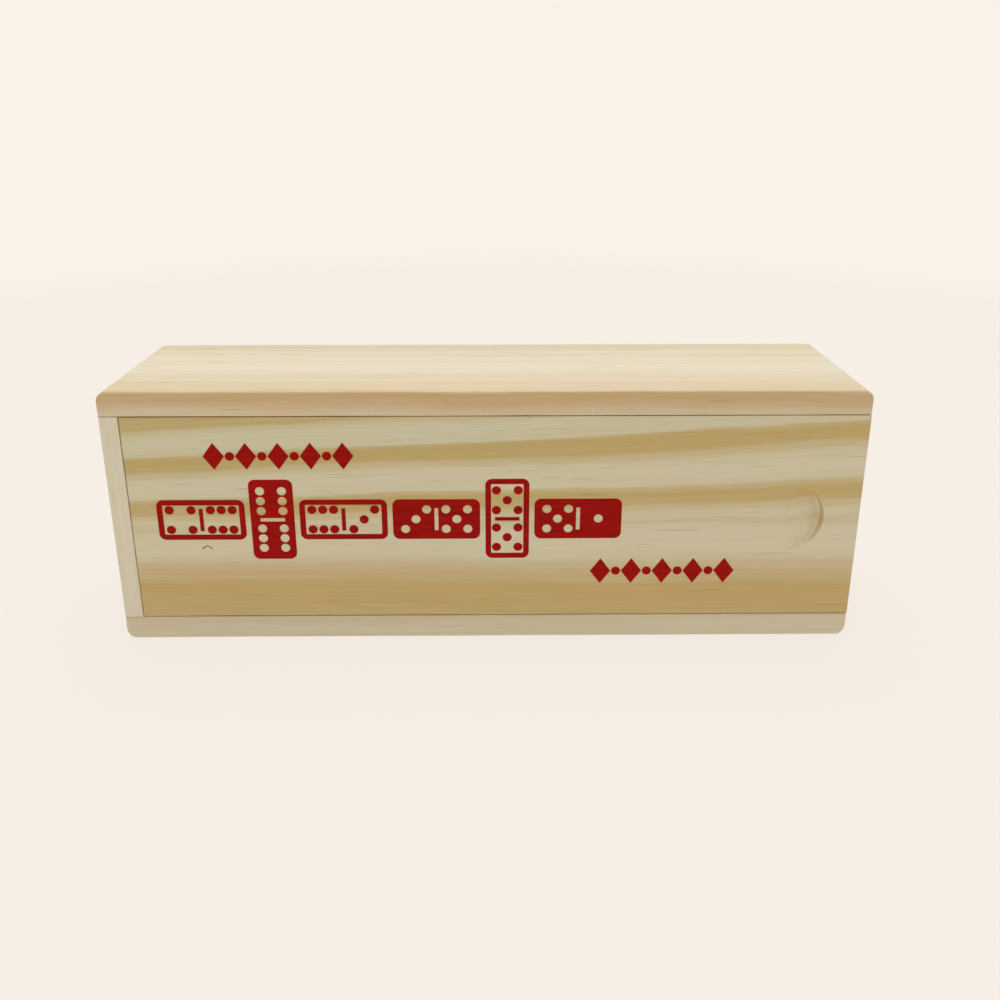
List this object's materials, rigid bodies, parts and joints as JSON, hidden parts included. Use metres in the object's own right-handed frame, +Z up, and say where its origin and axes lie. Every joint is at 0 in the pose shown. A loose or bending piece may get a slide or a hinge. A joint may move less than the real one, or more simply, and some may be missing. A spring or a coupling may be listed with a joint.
{
  "type": "domino storage box",
  "caption": "Long shallow pine box for a set of dominoes, with a flush lid that slides lengthwise in grooves and a nailed base panel.",
  "frame": {"origin": "middle of the underside, on which the box stands on its long narrow side", "axes": "+X along the length, towards the end where the lid slides out; -Y the way the lid faces; +Z up"},
  "size_m": [0.18, 0.04, 0.065],
  "materials": {
    "side_pine": "sanded, unvarnished",
    "end_pine": "sanded, unvarnished",
    "base_pine": "sanded, unvarnished",
    "lid_pine": "sanded, unvarnished",
    "brad_steel": "bright drawn wire",
    "red_ink": "screen-printed ink on the lid's face"
  },
  "bodies": {
    "case": {"lower_side_board": "side_pine", "upper_side_board": "side_pine", "closed_end_board": "end_pine", "open_end_board": "end_pine", "base_panel": "base_pine", "base_brads": "brad_steel", "corner_pins": "brad_steel"},
    "lid": {"sliding_lid": "lid_pine"}
  },
  "joints": [
    {"name": "lid_slide", "type": "slide", "parent": "case", "child": "lid", "axis": [1, 0, 0], "range_m": [0, 0.185]}
  ]
}
